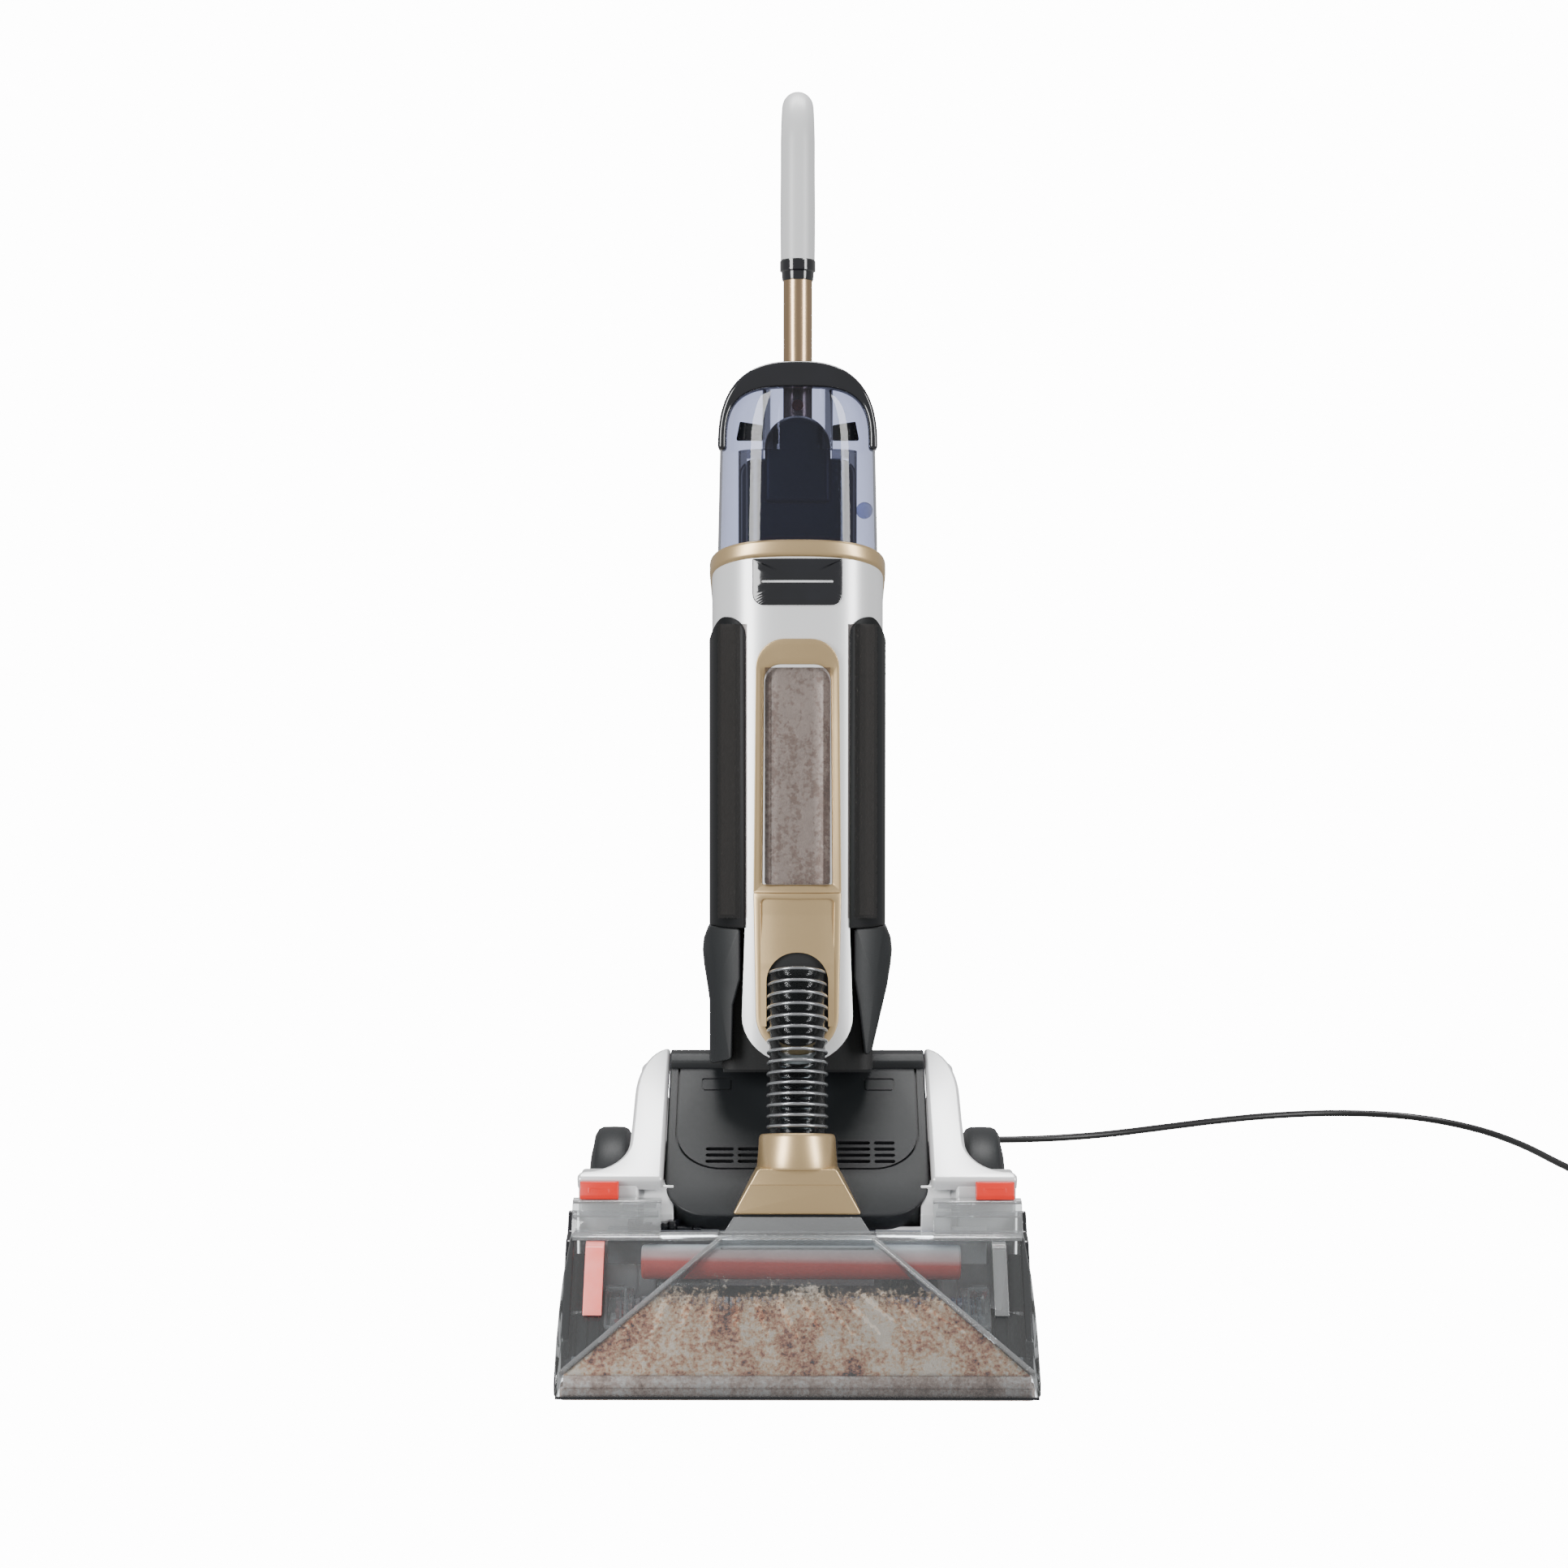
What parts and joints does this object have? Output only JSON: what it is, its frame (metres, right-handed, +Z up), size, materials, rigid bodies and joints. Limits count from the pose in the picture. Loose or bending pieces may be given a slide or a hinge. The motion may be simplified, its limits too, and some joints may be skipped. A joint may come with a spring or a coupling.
{
  "type": "carpet cleaner machine",
  "caption": "Upright carpet cleaner with a clear floor nozzle, brush roll, clear hose, stacked tanks on a reclining body and a tube handle.",
  "frame": {"origin": "on the floor under the middle of the machine's footprint, cord left out", "axes": "+X to the right seen from the front, +Y to the back, +Z up; the nozzle faces -Y"},
  "size_m": [1.1194, 0.9086, 1.0156],
  "materials": {
    "charcoal_plastic": "satin",
    "black_plastic": "satin",
    "red_plastic": "semi-gloss",
    "clear_plastic": "clear",
    "bristle_nylon": "brushed nylon tufts",
    "core_plastic": "satin",
    "motor_steel": "zinc plated",
    "pulley_plastic": "moulded",
    "screw_steel": "black zinc",
    "smoked_clear": "smoked clear",
    "cord_rubber": "matt",
    "belt_rubber": "matt",
    "grey_plastic": "moulded",
    "pearl_plastic": "pearl white",
    "champagne_plastic": "champagne metallic",
    "champagne_metal": "anodised champagne",
    "light_grey_plastic": "satin",
    "pulley_steel": "turned",
    "pin_steel": "ground",
    "tank_clear": "clear grey",
    "float_plastic": "moulded",
    "hose_clear": "clear, wire wound",
    "lip_clear": "clear",
    "copper_plastic": "copper",
    "wheel_plastic": "soft"
  },
  "bodies": {
    "foot": {"base_plate": "black_plastic", "belt_guard": "red_plastic", "brush_guard": "clear_plastic", "brush_motor": "motor_steel", "cord_coil": "cord_rubber", "cord_plug": "cord_rubber", "drive_belt": "belt_rubber", "end_plates": "black_plastic", "fan_housing": "grey_plastic", "fender_left": "pearl_plastic", "fender_right": "pearl_plastic", "hose_collar": "champagne_plastic", "hose_plate": "champagne_plastic", "motor_cover": "black_plastic", "pivot_pins": "pin_steel", "power_cord": "cord_rubber", "solution_pump": "grey_plastic", "spray_bar": "grey_plastic", "strain_relief": "cord_rubber", "suction_hose": "hose_clear", "suction_motor": "motor_steel", "wheel_axles": "pin_steel"},
    "nozzle": {"nozzle_cover": "clear_plastic", "suction_channel": "clear_plastic", "suction_lip": "lip_clear"},
    "brush": {"brush_core": "core_plastic", "brush_bristles": "bristle_nylon", "brush_pulley": "pulley_plastic"},
    "motor_shaft": {"motor_pulley": "pulley_steel"},
    "impeller": {"fan_impeller": "grey_plastic"},
    "left_wheel": {"wheel_left": "wheel_plastic"},
    "right_wheel": {"wheel_right": "wheel_plastic"},
    "left_latch": {"nozzle_latch_left": "red_plastic"},
    "right_latch": {"nozzle_latch_right": "red_plastic"},
    "upright": {"lower_body": "black_plastic", "rear_shell": "black_plastic", "front_shell": "pearl_plastic", "side_pads": "charcoal_plastic", "window_frame": "champagne_plastic", "scoop_panel": "champagne_plastic", "tank_window": "clear_plastic", "badge_plate": "charcoal_plastic", "gold_band": "champagne_plastic", "recovery_tank": "tank_clear", "float_cage": "grey_plastic", "handle_column": "charcoal_plastic", "handle_tube": "champagne_metal", "tube_collar": "black_plastic", "grip": "light_grey_plastic", "cord_hook_lower": "black_plastic", "casing_screws": "screw_steel"},
    "tank": {"clean_tank": "smoked_clear", "tank_arch": "black_plastic"},
    "cap": {"fill_cap": "black_plastic"},
    "float": {"shutoff_float": "float_plastic"},
    "trigger_lever": {"trigger": "charcoal_plastic"},
    "snap_button": {"tube_button": "copper_plastic"},
    "release_button": {"tank_release_button": "charcoal_plastic"},
    "switch": {"power_switch": "charcoal_plastic"},
    "upper_hook": {"cord_hook_upper": "black_plastic"}
  },
  "joints": [
    {"name": "body_recline", "type": "hinge", "parent": "foot", "child": "upright", "pos_m": [0, 0.0826, 0.11], "axis": [-1, 0, 0], "range_deg": [0, 50], "deforming": ["suction_hose"]},
    {"name": "tank_lift", "type": "slide", "parent": "upright", "child": "tank", "axis": [0, 0.0872, 0.9962], "range_m": [0, 0.2]},
    {"name": "fill_cap_turn", "type": "hinge", "parent": "tank", "child": "cap", "pos_m": [0.057, 0.14934, 0.6663], "axis": [0, 0.9962, -0.0872], "range_deg": [0, 90]},
    {"name": "nozzle_slide", "type": "slide", "parent": "foot", "child": "nozzle", "axis": [0, -1, 0], "range_m": [0, 0.06]},
    {"name": "brush_spin", "type": "hinge", "parent": "foot", "child": "brush", "pos_m": [0, -0.1164, 0.03], "axis": [1, 0, 0], "continuous": true},
    {"name": "motor_spin", "type": "hinge", "parent": "foot", "child": "motor_shaft", "pos_m": [0, -0.0424, 0.046], "axis": [1, 0, 0], "continuous": true},
    {"name": "impeller_spin", "type": "hinge", "parent": "foot", "child": "impeller", "pos_m": [0.05, -0.0124, 0.09], "axis": [0, 0, 1], "continuous": true},
    {"name": "wheel_left_roll", "type": "hinge", "parent": "foot", "child": "left_wheel", "pos_m": [-0.158, 0.0956, 0.07], "axis": [1, 0, 0], "continuous": true},
    {"name": "wheel_right_roll", "type": "hinge", "parent": "foot", "child": "right_wheel", "pos_m": [0.158, 0.0956, 0.07], "axis": [1, 0, 0], "continuous": true},
    {"name": "latch_left_slide", "type": "slide", "parent": "foot", "child": "left_latch", "axis": [1, 0, 0], "range_m": [0, 0.008]},
    {"name": "latch_right_slide", "type": "slide", "parent": "foot", "child": "right_latch", "axis": [-1, 0, 0], "range_m": [0, 0.008]},
    {"name": "trigger_pull", "type": "hinge", "parent": "upright", "child": "trigger_lever", "pos_m": [0, 0.1684, 0.95875], "axis": [1, 0, 0], "range_deg": [0, 8], "stiffness_Nm_per_rad": 0.6},
    {"name": "snap_press", "type": "slide", "parent": "upright", "child": "snap_button", "axis": [0, 0.9962, -0.0872], "range_m": [0, 0.003], "stiffness_N_per_m": 400},
    {"name": "release_press", "type": "slide", "parent": "upright", "child": "release_button", "axis": [0, 0.9962, -0.0872], "range_m": [0, 0.0025], "stiffness_N_per_m": 600},
    {"name": "switch_press", "type": "slide", "parent": "upright", "child": "switch", "axis": [0, -0.9962, 0.0872], "range_m": [0, 0.002], "stiffness_N_per_m": 600},
    {"name": "upper_hook_turn", "type": "hinge", "parent": "upright", "child": "upper_hook", "pos_m": [0, 0.15208, 0.52553], "axis": [0, 0.9962, -0.0872], "range_deg": [0, 180]},
    {"name": "float_rise", "type": "slide", "parent": "upright", "child": "float", "axis": [0, 0.0872, 0.9962], "range_m": [0, 0.03]}
  ],
  "couplings": [
    {"joint": "motor_spin", "follows": "brush_spin", "ratio": 1.7778}
  ]
}
